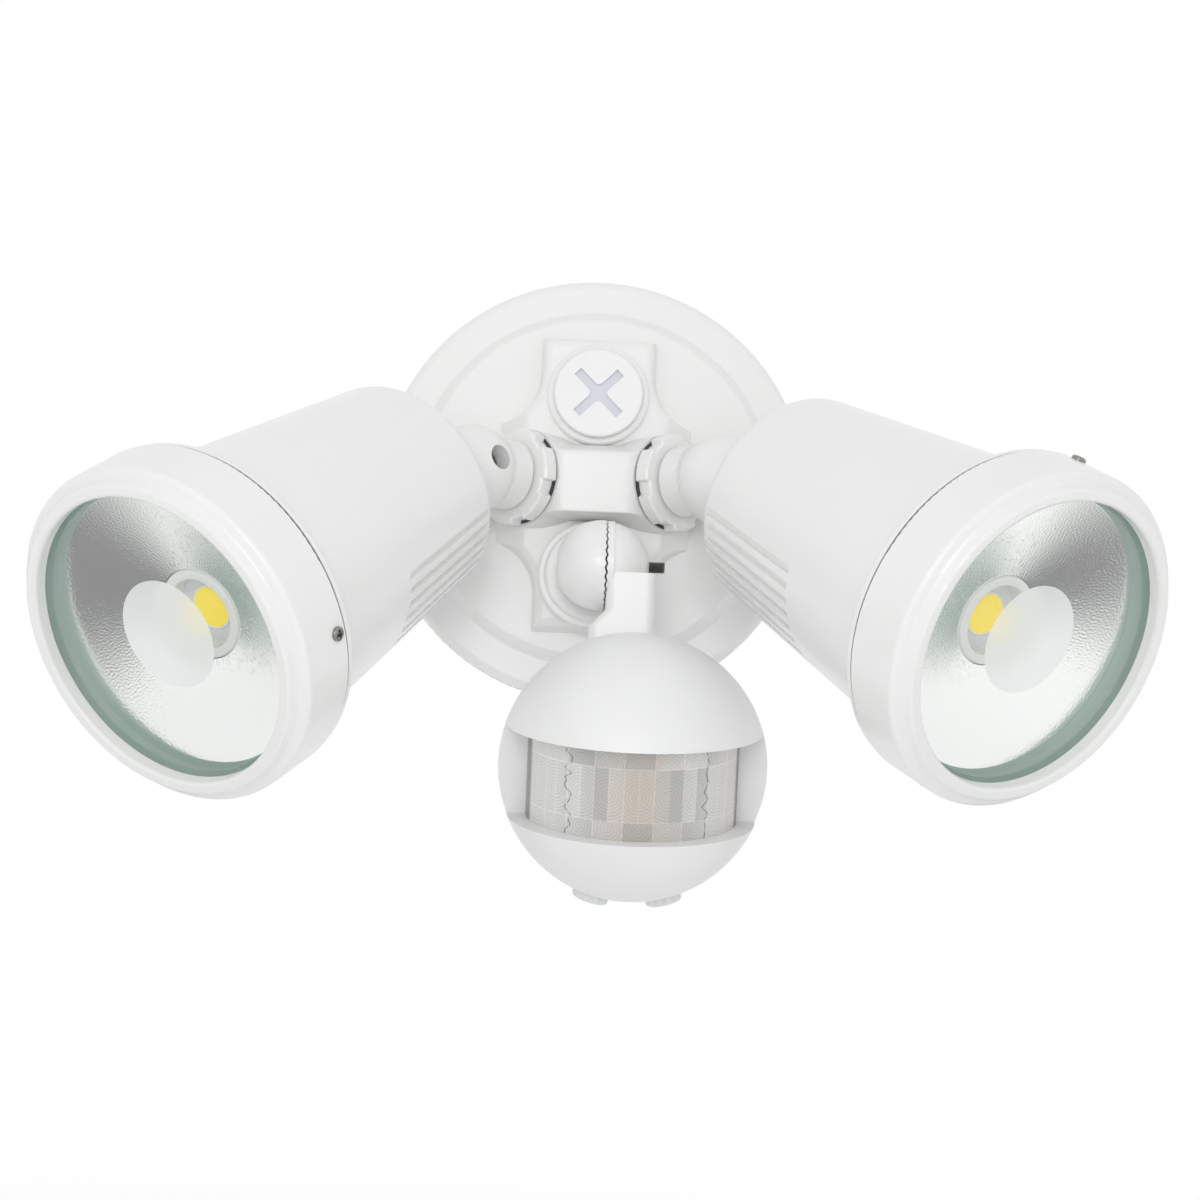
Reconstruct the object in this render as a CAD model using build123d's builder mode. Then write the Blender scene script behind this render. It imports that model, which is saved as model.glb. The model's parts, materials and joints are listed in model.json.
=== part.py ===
from build123d import *
from math import cos, hypot, pi, radians, sin, sqrt
import os

# Motion sensor security light: a round cast wall plate with two swivelling spotlight
# heads and, under them, a swivelling ball that holds a passive infrared sensor.
# X is to the right, Z is up, and the wall is the plane Y = 0.
# The light stands out of the wall along -Y.
# Lengths are in millimetres and angles in degrees.

# Wall plate
plate_radius = 75
gasket_height = 1.2
rim_height = 6
fold_radius = 62.5
panel_height = 9
cross_height = 18
cross_half_width = 20.3
cross_half_length = 52
cross_draft = 9
casting_wall = 3
wall_screw_radius = 67.5
wall_screw_hole = 2.75

# Bosses of the wall plate
plug_rise = 30.5
sensor_drop = 33
plug_boss_radius = 17.7
plug_boss_height = 21
sensor_boss_radius = 18
sensor_boss_height = 19.5
lamp_boss_radius = 17
lamp_slope_reach = 27
lamp_boss_reach = 29

# Stems, lock rings and knuckles, the same on all three arms
stem_radius = 9.95
stem_bore = 4
running_fit = 0.05
seal_thickness = 1
ring_thickness = 5
ring_radius = 15.2
lug_radius = 16.8
lug_width = 11.5
lug_count = 6
flange_ring_radius = 18.4
flange_ring_step = 2.2
flange_ring_face = 16.2
knuckle_radius = 15.3
knuckle_shift = -2.5
tooth_plane = -4.1
tooth_gap = 0.06
tooth_count = 32
tooth_depth = 0.6
flange_thickness = 2.7
moving_dome_radius = 14.8
bolt_radius = 2
bolt_clearance = 0.1
tapped_clearance = 0.02
bolt_head_radius = 3.8
bolt_head_height = 3
bolt_head_seat = 3.5
seat_gap = 0.1
bolt_end = -24
blind_hole_end = 8
reversed_head_seat = -13.5

# Lamp arms, in the photographed pose
stem_azimuth = 45
stem_foot = 4.3
lamp_pivot_reach = 52
lamp_swivel = {"left": 11.2, "right": 14.6}
lamp_tilt = {"left": 31.7, "right": 28.1}
neck_offset = 9.4
neck_thickness = 12
neck_width = 21
beam_rise = 6.3
lip_reach = 155.7

# Lamp head, measured back from the front lip
ring_outer = 55
ring_bore = 51.2
ring_depth = 23.7
ring_gap = 0.9
lip_inner = 46.8
glass_radius = 49.6
glass_front = 4.5
glass_back = 8.6
spacer_back = 14.4
reflector_radius = 45.8
reflector_wall = 0.8
trim_outer = 15
trim_inner = 11.5
carrier_front = 29.9
carrier_thickness = 1.6
plate_back = 36.5
collar_radius = 54.4
body_front_radius = 47.4
body_rear_radius = 36.4
body_front = 30.5
body_rear = 131
shell_wall = 3.6
groove_count = 18
groove_pitch = 7.2
groove_width = 2.6
groove_depth = 1.6
groove_front = 75
ring_screw_angle = {"left": (-112, 68), "right": (10, 190)}
ring_screw_back = 19.8

# Sensor arm and ball
sensor_pivot_reach = 43
arm_left = 4.4
arm_right = 20.8
arm_top = 4
arm_flare_left = -1
arm_flare_top = 16.5
arm_flare_bottom = 22
arm_bottom = 47
ball_radius = 44
ball_wall = 2.2
ball_centre = (15, -62, -102)
ball_tilt = 17
window_top = 13.3
window_bottom = -16.8
lens_radius = 34.5
lens_wall = 1.3
lens_row_splits = (6.4, -10.8)
knob_angle = 15.4
knob_radius = 6.1
knob_reach = 46.6
knob_gap = 0.35

wall_section = Plane(origin=(0, 0, 0), x_dir=(1, 0, 0), z_dir=(0, 0, -1))
wall_axis = Axis((0, 0, 0), (0, -1, 0))


class Centre:
    """A turning centre: an origin, the direction along its axis and one across it."""

    def __init__(self, origin, along, across):
        self.origin = Vector(origin)
        self.along = Vector(along).normalized()
        self.across = Vector(across).normalized()
        self.axis = Axis(self.origin, self.along)

    def section(self, angle=0):
        """Plane that holds the axis: its X is the radius at that angle, its Y runs along."""
        radius = self.across.rotate(Axis((0, 0, 0), self.along), angle)
        return Plane(self.origin, x_dir=radius, z_dir=radius.cross(self.along))

    def level(self, height):
        """Plane square to the axis at a height along it."""
        return Plane(self.origin + self.along * height, x_dir=self.across, z_dir=self.along)


def arm_centres(origin, stem, bolt):
    """Centres of one arm's stem and of its clamp bolt, both at the pivot."""
    stem_centre = Centre(origin, stem, bolt)
    bolt_centre = Centre(origin, bolt, stem)
    return stem_centre, bolt_centre


def lamp_centres(side):
    """Stem, bolt and beam centres of one lamp, from its swivel and tilt."""
    sign = -1 if side == "left" else 1
    lean = radians(stem_azimuth)
    stem = Vector(sign * sin(lean), -cos(lean), 0)
    level_bolt = Vector(-sign * cos(lean), -sin(lean), 0)
    pivot = Vector(sign * stem_foot, 0, 0) + stem * lamp_pivot_reach
    bolt = level_bolt.rotate(Axis((0, 0, 0), stem), -sign * lamp_swivel[side])
    beam = stem.rotate(Axis((0, 0, 0), bolt), -sign * lamp_tilt[side])
    up = bolt.cross(beam) * sign
    stem_centre, bolt_centre = arm_centres(pivot, stem, bolt)
    head = Centre(pivot - bolt * neck_offset + up * beam_rise, beam, up)
    return stem_centre, bolt_centre, head


def save(builder, name):
    """Label a finished piece and write it."""
    builder.part.label = name
    export_step(builder.part, f"parts/{name}.step")


os.makedirs("parts", exist_ok=True)
lamps = {side: lamp_centres(side) for side in ("left", "right")}
sensor_pivot = Vector(0, -sensor_pivot_reach, -sensor_drop)
sensor_stem_centre, sensor_bolt_centre = arm_centres(sensor_pivot, (0, -1, 0), (-1, 0, 0))


# ---------------------------------------------------------------- wall plate
def plate_blank():
    """Round plate with its rolled rim and fold, still solid behind."""
    with BuildPart() as blank:
        with BuildSketch(wall_section):
            with BuildLine():
                FilletPolyline(
                    (0, panel_height),
                    (fold_radius - 2.5, panel_height),
                    (fold_radius + 0.5, rim_height),
                    (plate_radius, rim_height),
                    (plate_radius, gasket_height),
                    radius=(1.6, 1.2, 3),
                )
                Polyline((plate_radius, gasket_height), (0, gasket_height), (0, panel_height))
            make_face()
        revolve(axis=wall_axis)
    return blank


def cross_outline(inset, height):
    """Cross of two rounded bars with large concave corners, on a plane square to the wall."""
    half = cross_half_width - inset
    with BuildSketch(Plane.XZ.offset(height)) as outline:
        Rectangle(2 * half, 2 * (cross_half_length - inset))
        Rectangle(2 * (cross_half_length - inset), 2 * half)
        corners = outline.vertices()
        inner = corners.filter_by(lambda v: hypot(v.X, v.Y) < cross_half_length * 0.8)
        outer = corners.filter_by(lambda v: hypot(v.X, v.Y) > cross_half_length * 0.8)
        fillet(inner, 19)
        fillet(outer, 7 - inset)
    return outline.sketch


def slope_cut(side):
    """Wedge that ends one side arm of the cross in a slope square to the lamp's stem."""
    sign = -1 if side == "left" else 1
    reach = lamp_slope_reach / sin(radians(stem_azimuth)) + stem_foot
    low, high = panel_height, 2 * cross_height
    with BuildPart() as wedge:
        with BuildSketch(Plane.XY.offset(-plate_radius)):
            with BuildLine():
                Polyline(
                    (sign * (reach - low), -low),
                    (sign * (reach - high), -high),
                    (sign * 2 * plate_radius, -high),
                    (sign * 2 * plate_radius, -low),
                    close=True,
                )
            make_face()
        extrude(amount=2 * plate_radius)
    return wedge.part


def raised_cross():
    """The raised cross with drafted sides, sloped side arms and rounded top edges."""
    with BuildPart() as cross:
        extrude(cross_outline(0, panel_height - 1), amount=cross_height - panel_height + 1,
                taper=cross_draft)
        for side in lamps:
            add(slope_cut(side), mode=Mode.SUBTRACT)
        top = cross.faces().sort_by(Axis.Y)[0]
        fillet(top.edges(), 3)
    return cross.part


with BuildPart() as wall_plate:
    add(plate_blank().part)
    add(raised_cross())
    # Conduit boss above and sensor boss below
    with BuildSketch(Plane.XZ.offset(panel_height)):
        with Locations((0, plug_rise)):
            Circle(plug_boss_radius)
    extrude(amount=plug_boss_height - panel_height)
    with BuildSketch(Plane.XZ.offset(panel_height)):
        with Locations((0, -sensor_drop)):
            Circle(sensor_boss_radius)
    extrude(amount=sensor_boss_height - panel_height)
    for side, (stem_centre, bolt_centre, head) in lamps.items():
        with BuildSketch(stem_centre.level(lamp_boss_reach - lamp_pivot_reach)):
            Circle(lamp_boss_radius)
        extrude(amount=-lamp_boss_reach)
    rims = wall_plate.faces().filter_by(GeomType.PLANE).filter_by(
        lambda f: len(f.edges()) == 1 and f.area > 400 and f.center().Y < -cross_height
    )
    fillet(rims.edges(), 1.2)
    # Hollow back: the plate's own wall, then the pocket under the cross
    with BuildSketch(wall_section):
        with BuildLine():
            Polyline(
                (0, -2 * plate_radius),
                (plate_radius - 5, -2 * plate_radius),
                (plate_radius - 5, rim_height - casting_wall),
                (fold_radius, rim_height - casting_wall),
                (fold_radius - 3, panel_height - casting_wall),
                (0, panel_height - casting_wall),
                close=True,
            )
        make_face()
    revolve(axis=wall_axis, mode=Mode.SUBTRACT)
    with BuildSketch(Plane.XZ.offset(-2 * plate_radius)):
        Circle(2 * plate_radius)
    extrude(amount=2 * plate_radius + gasket_height, mode=Mode.SUBTRACT)
    with BuildSketch(Plane.XZ):
        RectangleRounded(2 * (cross_half_width - 4.5), 2 * (cross_half_length - 5), 5)
    extrude(amount=cross_height - casting_wall, taper=2, mode=Mode.SUBTRACT)
    # Tubes round the two wall screws
    with BuildSketch(Plane.XZ.offset(gasket_height)):
        with Locations((-wall_screw_radius, 0), (wall_screw_radius, 0)):
            Circle(5)
    extrude(amount=rim_height - gasket_height - 1)
    with BuildSketch(Plane.XZ):
        with Locations((-wall_screw_radius, 0), (wall_screw_radius, 0)):
            Circle(wall_screw_hole)
    extrude(amount=rim_height + 5, mode=Mode.SUBTRACT)
    # Bores for the plug, the sensor's stem and the lamps' stems
    with BuildSketch(Plane.XZ):
        with Locations((0, plug_rise)):
            Circle(12.5)
    extrude(amount=30, mode=Mode.SUBTRACT)
    with BuildSketch(Plane.XZ):
        with Locations((0, -sensor_drop)):
            Circle(stem_radius + running_fit)
    extrude(amount=30, mode=Mode.SUBTRACT)
    for side, (stem_centre, bolt_centre, head) in lamps.items():
        with BuildSketch(stem_centre.level(lamp_boss_reach - lamp_pivot_reach)):
            Circle(stem_radius + running_fit)
        extrude(amount=-11.5, mode=Mode.SUBTRACT)
    # Post inside for the earth screw
    with BuildSketch(Plane.XZ.offset(3.5)):
        with Locations((-40, 24)):
            Circle(4)
    extrude(amount=panel_height - 4)
    with BuildSketch(Plane.XZ.offset(3.5)):
        with Locations((-40, 24)):
            Circle(1.6)
    extrude(amount=4, mode=Mode.SUBTRACT)
save(wall_plate, "wall_plate")

with BuildPart() as base_gasket:
    with BuildSketch(Plane.XZ):
        Circle(plate_radius)
        Circle(plate_radius - 5, mode=Mode.SUBTRACT)
        with Locations((-wall_screw_radius, 0), (wall_screw_radius, 0)):
            Circle(6)
            Circle(wall_screw_hole, mode=Mode.SUBTRACT)
    extrude(amount=gasket_height)
save(base_gasket, "base_gasket")

with BuildPart() as plug_o_ring:
    with BuildSketch(Plane.XZ.offset(plug_boss_height)):
        with Locations((0, plug_rise)):
            Circle(14.4)
            Circle(12.6, mode=Mode.SUBTRACT)
    extrude(amount=0.8)
save(plug_o_ring, "plug_o_ring")

with BuildPart() as blanking_plug:
    with BuildSketch(Plane.XZ.offset(plug_boss_height - 12)):
        with Locations((0, plug_rise)):
            Circle(12.45)
            Circle(9.5, mode=Mode.SUBTRACT)
    extrude(amount=12.8)
    with BuildSketch(Plane.XZ.offset(plug_boss_height + 0.8)):
        with Locations((0, plug_rise)):
            Circle(15.4)
    extrude(amount=2.4)
    fillet(blanking_plug.faces().sort_by(Axis.Y)[0].edges(), 0.8)
    with BuildSketch(Plane.XZ.offset(plug_boss_height + 2)) as plug_slot:
        with Locations((0, plug_rise)):
            with Locations(Rotation(0, 0, 45), Rotation(0, 0, -45)):
                Rectangle(21, 3.2)
        slot_corners = plug_slot.vertices().filter_by(
            lambda v: hypot(v.X, v.Y - plug_rise) < 4)
        fillet(slot_corners, 1.8)
    extrude(amount=5, mode=Mode.SUBTRACT)
save(blanking_plug, "blanking_plug")

# Three-way connector on the pocket's ceiling, its screws towards the wall
block_top = cross_height - casting_wall
with BuildPart() as terminal_block:
    with BuildSketch(Plane.XZ.offset(block_top)):
        Rectangle(22, 13)
    extrude(amount=-9)
    with BuildSketch(Plane.XZ.offset(block_top - 9)):
        with GridLocations(7.3, 0, 3, 1):
            Circle(2.2)
    extrude(amount=6, mode=Mode.SUBTRACT)
    with BuildSketch(Plane.XY.offset(-10)):
        with Locations((0, -block_top + 5)):
            with GridLocations(7.3, 0, 3, 1):
                Circle(1.5)
    extrude(amount=20, mode=Mode.SUBTRACT)
save(terminal_block, "terminal_block")

with BuildPart() as terminal_screws:
    with BuildSketch(Plane.XZ.offset(block_top - 8)):
        with GridLocations(7.3, 0, 3, 1):
            Circle(2)
    extrude(amount=2.4)
    with BuildSketch(Plane.XZ.offset(block_top - 8)):
        with GridLocations(7.3, 0, 3, 1):
            Rectangle(4.4, 0.6)
    extrude(amount=0.8, mode=Mode.SUBTRACT)
save(terminal_screws, "terminal_screws")

with BuildPart() as earth_screw:
    with BuildSketch(Plane.XZ.offset(1.5)):
        with Locations((-40, 24)):
            Circle(3.2)
    extrude(amount=2)
    with BuildSketch(Plane.XZ.offset(3.5)):
        with Locations((-40, 24)):
            Circle(1.58)
    extrude(amount=3.5)
save(earth_screw, "earth_screw")


# ------------------------------------------------------- stems and knuckles
def tooth_groove():
    """One radial groove of the serration: a pyramid that narrows towards the bolt."""
    reach = knuckle_radius + 1.5
    half = pi * reach / tooth_count
    with BuildPart() as groove:
        for scale in (1, 0.36):
            with BuildSketch(Plane(origin=(reach * scale, 0, 0), x_dir=(0, 1, 0), z_dir=(1, 0, 0))):
                with BuildLine():
                    Polyline(
                        (-half * scale, 0),
                        (0, -tooth_depth * scale),
                        (half * scale, 0),
                        close=True,
                    )
                make_face()
        loft()
    return groove.part


def tooth_ring():
    """All the grooves of one serrated face, cut into the half below its plane."""
    with BuildPart() as ring:
        with PolarLocations(0, tooth_count):
            add(tooth_groove())
    return ring.part


serration = tooth_ring()


def knuckle_stem(stem_centre, bolt_centre, boss_reach, pivot_reach, blind):
    """Hollow stem that ends in the fixed, serrated half of the knuckle.

    The bolt's head sits deep in its dome, or if blind, its thread ends inside it."""
    face = tooth_plane + tooth_gap
    ring_end = boss_reach - pivot_reach + seal_thickness + ring_thickness
    with BuildPart() as stem:
        with BuildSketch(stem_centre.section()):
            with BuildLine():
                FilletPolyline(
                    (0, boss_reach - pivot_reach - 9.5),
                    (stem_radius, boss_reach - pivot_reach - 9.5),
                    (stem_radius, ring_end + 0.4),
                    (12.2, ring_end + 1.2),
                    (12.2, -8),
                    (0, -8),
                    radius=(0.8, 0, 0.8, 0),
                )
                Line((0, -8), (0, boss_reach - pivot_reach - 9.5))
            make_face()
        revolve(axis=stem_centre.axis)
        # Room for the moving half to turn in
        with BuildSketch(bolt_centre.section()):
            with Locations((0, face)):
                Rectangle(knuckle_radius + 0.6, 30, align=(Align.MIN, Align.MAX))
        revolve(axis=bolt_centre.axis, mode=Mode.SUBTRACT)
        with BuildSketch(bolt_centre.section()):
            with BuildLine():
                low, high = face, knuckle_radius + knuckle_shift
                RadiusArc((sqrt(knuckle_radius**2 - (low - knuckle_shift) ** 2), low), (0, high),
                          -knuckle_radius)
                Polyline((0, high), (0, low),
                         (sqrt(knuckle_radius**2 - (low - knuckle_shift) ** 2), low))
            make_face()
        revolve(axis=bolt_centre.axis)
        # Clamp bolt hole with its counterbore, and the passage for the wires
        with BuildSketch(bolt_centre.level(face - 1)):
            Circle(bolt_radius + bolt_clearance)
        extrude(amount=(blind_hole_end - face + 1) if blind else 30, mode=Mode.SUBTRACT)
        if not blind:
            with BuildSketch(bolt_centre.level(bolt_head_seat)):
                Circle(bolt_head_radius + 0.5)
            extrude(amount=20, mode=Mode.SUBTRACT)
        with BuildSketch(stem_centre.level(boss_reach - pivot_reach - 10)):
            Circle(stem_bore)
        extrude(amount=pivot_reach - boss_reach + 10 - 6, mode=Mode.SUBTRACT)
        teeth = Plane(bolt_centre.origin + bolt_centre.along * face, x_dir=bolt_centre.across,
                      z_dir=-bolt_centre.along)
        add(teeth.from_local_coords(serration), mode=Mode.SUBTRACT)
    return stem


def moving_half(bolt_centre):
    """Moving half of the knuckle: a serrated flange with a dome about the same centre."""
    face = tooth_plane - tooth_gap
    back = tooth_plane - flange_thickness
    dome = moving_dome_radius
    tip = tooth_plane - dome
    with BuildPart() as half:
        with BuildSketch(bolt_centre.section()):
            with BuildLine():
                edge = sqrt(dome**2 - flange_thickness**2)
                FilletPolyline((0, face), (knuckle_radius - 0.2, face), (knuckle_radius - 0.2, back),
                               (edge, back), radius=(0, 0.25))
                RadiusArc((edge, back), (0, tip), dome)
                Line((0, tip), (0, face))
            make_face()
        revolve(axis=bolt_centre.axis)
    return half.part


def knuckle_cuts(bolt_centre, blind):
    """What is cut from a moving half last: its teeth, half a pitch round, and its hole.

    The hole is tapped, or if the fixed half is blind, plain with a counterbore."""
    face = tooth_plane - tooth_gap
    half_pitch = 180 / tooth_count
    teeth = Plane(bolt_centre.origin + bolt_centre.along * face,
                  x_dir=bolt_centre.across.rotate(Axis((0, 0, 0), bolt_centre.along), half_pitch),
                  z_dir=bolt_centre.along)
    with BuildPart() as cuts:
        with BuildSketch(bolt_centre.level(face + 1)):
            Circle(bolt_radius + (bolt_clearance if blind else tapped_clearance))
        extrude(amount=-30)
        if blind:
            with BuildSketch(bolt_centre.level(reversed_head_seat)):
                Circle(bolt_head_radius + 0.5)
            extrude(amount=-12)
    return teeth.from_local_coords(serration), cuts.part


def clamp_bolt(bolt_centre, seat, end):
    """Clamp bolt with a socket head, from the seat of its head to the end of its thread."""
    out = 1 if seat > end else -1
    with BuildPart() as bolt:
        with BuildSketch(bolt_centre.level(seat)):
            Circle(bolt_head_radius)
        extrude(amount=out * bolt_head_height)
        fillet(bolt.edges().sort_by(lambda e: -out * (e.center() - bolt_centre.origin).dot(
            bolt_centre.along))[0], 0.5)
        with BuildSketch(bolt_centre.level(seat + out * bolt_head_height)):
            RegularPolygon(1.75, 6)
        extrude(amount=-out * 1.8, mode=Mode.SUBTRACT)
        with BuildSketch(bolt_centre.level(seat)):
            Circle(bolt_radius)
        extrude(amount=end - seat)
    return bolt


def lock_ring(stem_centre, boss_reach, pivot_reach):
    """Ring nut with square lugs that locks a stem against its boss."""
    start = boss_reach - pivot_reach + seal_thickness
    with BuildPart() as ring:
        with BuildSketch(stem_centre.level(start)):
            Circle(ring_radius)
            with PolarLocations(0, lug_count):
                Rectangle(lug_radius, lug_width, align=(Align.MIN, Align.CENTER))
            Circle(lug_radius, mode=Mode.INTERSECT)
            Circle(stem_radius + running_fit, mode=Mode.SUBTRACT)
        extrude(amount=ring_thickness)
        far = ring.faces().sort_by(lambda f: -(f.center() - stem_centre.origin).dot(
            stem_centre.along))[0]
        chamfer(far.outer_wire().edges(), 0.7)
    return ring


def flanged_ring():
    """Smooth ring nut of the sensor's stem, with a flange against the boss."""
    start = sensor_boss_height - sensor_pivot_reach + seal_thickness
    step = start + flange_ring_step
    far = start + ring_thickness
    bore = stem_radius + running_fit
    with BuildPart() as ring:
        with BuildSketch(sensor_stem_centre.section()):
            with BuildLine():
                FilletPolyline(
                    (bore, start),
                    (flange_ring_radius, start),
                    (flange_ring_radius, step),
                    (flange_ring_face, step),
                    (flange_ring_face, far),
                    (bore, far),
                    radius=(0, 0.7, 0.7, 0.4, 1.2, 0),
                    close=True,
                )
            make_face()
        revolve(axis=sensor_stem_centre.axis)
    return ring


def stem_seal(stem_centre, boss_reach, pivot_reach):
    """Flat rubber ring between the lock ring and the boss."""
    with BuildPart() as seal:
        with BuildSketch(stem_centre.level(boss_reach - pivot_reach)):
            Circle(ring_radius + 0.8)
            Circle(stem_radius + running_fit, mode=Mode.SUBTRACT)
        extrude(amount=seal_thickness)
    return seal


# --------------------------------------------------------------- lamp heads
def turned(head, points, radii):
    """Ring or disc turned about the beam: corners are (radius, distance behind the lip)."""
    corners = [(radius, lip_reach - back) for radius, back in points]
    with BuildPart() as piece:
        with BuildSketch(head.section()):
            with BuildLine():
                FilletPolyline(*corners, radius=radii, close=True)
            make_face()
        revolve(axis=head.axis)
    return piece


def housing_body(head):
    """Tapered cup with a collar behind the front ring and a nose inside it."""
    outer = [
        (0, body_rear),
        (body_rear_radius, body_rear),
        (body_front_radius, body_front),
        (body_front_radius + 1.6, body_front - 2.6),
        (collar_radius, ring_depth + 2.8),
        (collar_radius, ring_depth + ring_gap),
        (ring_bore - 0.4, ring_depth + ring_gap),
        (ring_bore - 0.4, spacer_back + reflector_wall),
    ]
    inner = [
        (lip_inner + 0.1, spacer_back + reflector_wall),
        (lip_inner + 0.1, ring_depth),
        (body_front_radius - shell_wall, body_front),
        (body_front_radius - shell_wall - 0.6, plate_back),
        (body_front_radius - shell_wall - 3.4, plate_back),
        (body_rear_radius - shell_wall, body_rear - 5),
        (0, body_rear - 4),
    ]
    radii = [0, 7, 6, 2, 0.6, 0, 0, 0, 0, 0, 3, 0, 0, 5, 0]
    corners = [(radius, lip_reach - back) for radius, back in outer + inner]
    with BuildPart() as body:
        with BuildSketch(head.section()):
            with BuildLine():
                FilletPolyline(*corners, radius=radii[1:-1])
                Line(corners[-1], corners[0])
            make_face()
        revolve(axis=head.axis)
    return body.part


def cooling_grooves(head):
    """Long grooves in the underside, parallel to the taper, from the rear end forwards."""
    slope = (body_front_radius - body_rear_radius) / (body_rear - body_front)

    def surface(back):
        return body_front_radius - (back - body_front) * slope

    strip = [
        (surface(groove_front - 3) + 1, groove_front - 3),
        (surface(groove_front) - groove_depth, groove_front),
        (surface(body_rear + 5) - groove_depth, body_rear + 5),
        (surface(body_rear + 5) + 6, body_rear + 5),
        (surface(groove_front - 3) + 6, groove_front - 3),
    ]
    with BuildPart() as grooves:
        for index in range(groove_count):
            angle = 180 + (index - (groove_count - 1) / 2) * groove_pitch
            with BuildSketch(head.section(angle)):
                with BuildLine():
                    Polyline(*[(radius, lip_reach - back) for radius, back in strip], close=True)
                make_face()
            extrude(amount=groove_width / 2, both=True)
    return grooves.part


def neck(bolt_centre, head):
    """Neck from the knuckle's moving half to the rear of the housing."""
    up, beam, bolt = head.across, head.along, bolt_centre.along
    middle = tooth_plane - tooth_gap - neck_thickness / 2
    rear = lip_reach - body_rear

    def station(distance, shift, rise):
        origin = bolt_centre.origin + beam * distance + bolt * shift + up * rise
        return Plane(origin, x_dir=bolt, z_dir=beam)

    with BuildPart() as column:
        with BuildSketch(station(0, middle, 0)):
            RectangleRounded(neck_thickness, neck_width, 3)
        extrude(amount=rear - 7)
        with BuildSketch(station(rear - 7, middle, 0)):
            RectangleRounded(neck_thickness, neck_width, 3)
        with BuildSketch(station(rear + 3, -neck_offset, beam_rise / 2)):
            RectangleRounded(30, 36, 8)
        loft()
    return column.part


def housing(bolt_centre, head, blind):
    """Lamp casting: cup, cooling grooves, neck and the moving half of the knuckle."""
    teeth, bore = knuckle_cuts(bolt_centre, blind)
    with BuildPart() as casting:
        add(housing_body(head))
        add(cooling_grooves(head), mode=Mode.SUBTRACT)
        add(neck(bolt_centre, head))
        add(moving_half(bolt_centre))
        add(teeth, mode=Mode.SUBTRACT)
        add(bore, mode=Mode.SUBTRACT)
    return casting


def front_ring(side, head):
    """Front ring: cylinder, rounded shoulder, cove and rolled lip, over the glass."""
    corners = [
        (ring_bore, ring_depth),
        (ring_outer, ring_depth),
        (ring_outer, 4.6),
        (51.9, 3.2),
        (50.6, 0),
        (lip_inner, 0),
        (lip_inner, glass_front),
        (ring_bore, glass_front),
    ]
    ring = turned(head, corners, (0, 0.5, 2, 1.4, 1, 1.2, 0, 0))
    with BuildPart() as drilled:
        add(ring.part)
        for angle in ring_screw_angle[side]:
            with Locations(screw_plane(head, angle)):
                Cylinder(1.3, 30, mode=Mode.SUBTRACT)
    return drilled


def screw_plane(head, angle):
    """Plane on the ring's outside at a screw: its Z points away from the beam's axis."""
    section = head.section(angle)
    origin = head.origin + head.along * (lip_reach - ring_screw_back) + section.x_dir * ring_outer
    return Plane(origin, x_dir=head.along, z_dir=section.x_dir)


def ring_screws(side, head):
    """Small pan-head screws that hold the front ring."""
    with BuildPart() as screws:
        for angle in ring_screw_angle[side]:
            plane = screw_plane(head, angle)
            with BuildSketch(plane):
                Circle(2.3)
            extrude(amount=1.3)
            with BuildSketch(plane):
                Circle(1.25)
            extrude(amount=-3.6)
            with BuildSketch(plane.offset(1.3)):
                Rectangle(3, 0.6)
                Rectangle(0.6, 3)
            extrude(amount=-0.6, mode=Mode.SUBTRACT)
    return screws


def reflector(head):
    """Shallow spun cone with a flat flange between the spacer and the housing."""
    cone_back = 24
    corners = [
        (glass_radius, spacer_back),
        (reflector_radius, spacer_back),
        (trim_outer, cone_back),
        (trim_outer, cone_back + reflector_wall),
        (reflector_radius - 0.4, spacer_back + reflector_wall),
        (glass_radius, spacer_back + reflector_wall),
    ]
    return turned(head, corners, 0)


def lamp_pieces(side, stem_centre, bolt_centre, head):
    """Every piece of one lamp, by name."""
    carrier_back = carrier_front + carrier_thickness
    blind = side == "right"
    bolt_run = (reversed_head_seat, blind_hole_end - 1) if blind else (bolt_head_seat + seat_gap, bolt_end)
    return {
        "stem": knuckle_stem(stem_centre, bolt_centre, lamp_boss_reach, lamp_pivot_reach, blind),
        "lock_ring": lock_ring(stem_centre, lamp_boss_reach, lamp_pivot_reach),
        "stem_seal": stem_seal(stem_centre, lamp_boss_reach, lamp_pivot_reach),
        "clamp_bolt": clamp_bolt(bolt_centre, *bolt_run),
        "housing": housing(bolt_centre, head, blind),
        "front_ring": front_ring(side, head),
        "ring_screws": ring_screws(side, head),
        "lens_glass": turned(
            head,
            [(0, glass_front), (glass_radius, glass_front), (glass_radius, glass_back),
             (0, glass_back)],
            (0, 0.5, 0.5, 0),
        ),
        "glass_spacer": turned(
            head,
            [(reflector_radius, glass_back), (glass_radius, glass_back),
             (glass_radius, spacer_back), (reflector_radius, spacer_back)],
            0,
        ),
        "reflector": reflector(head),
        "trim_ring": turned(
            head,
            [(trim_inner, 23.4), (trim_outer - 0.1, 23.2), (trim_outer - 0.1, carrier_front),
             (trim_inner, carrier_front)],
            (0.8, 1.4, 0, 0),
        ),
        "led_carrier": turned(
            head,
            [(0, carrier_front), (trim_outer + 3, carrier_front), (trim_outer + 3, carrier_back),
             (0, carrier_back)],
            0,
        ),
        "led_phosphor": turned(
            head,
            [(0, carrier_front - 0.8), (6.6, carrier_front - 0.8), (6.6, carrier_front),
             (0, carrier_front)],
            (0, 0.4, 0, 0),
        ),
        "heat_plate": turned(
            head,
            [(0, carrier_back), (body_front_radius - shell_wall - 0.8, carrier_back),
             (body_front_radius - shell_wall - 0.8, plate_back), (0, plate_back)],
            0,
        ),
    }


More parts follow.
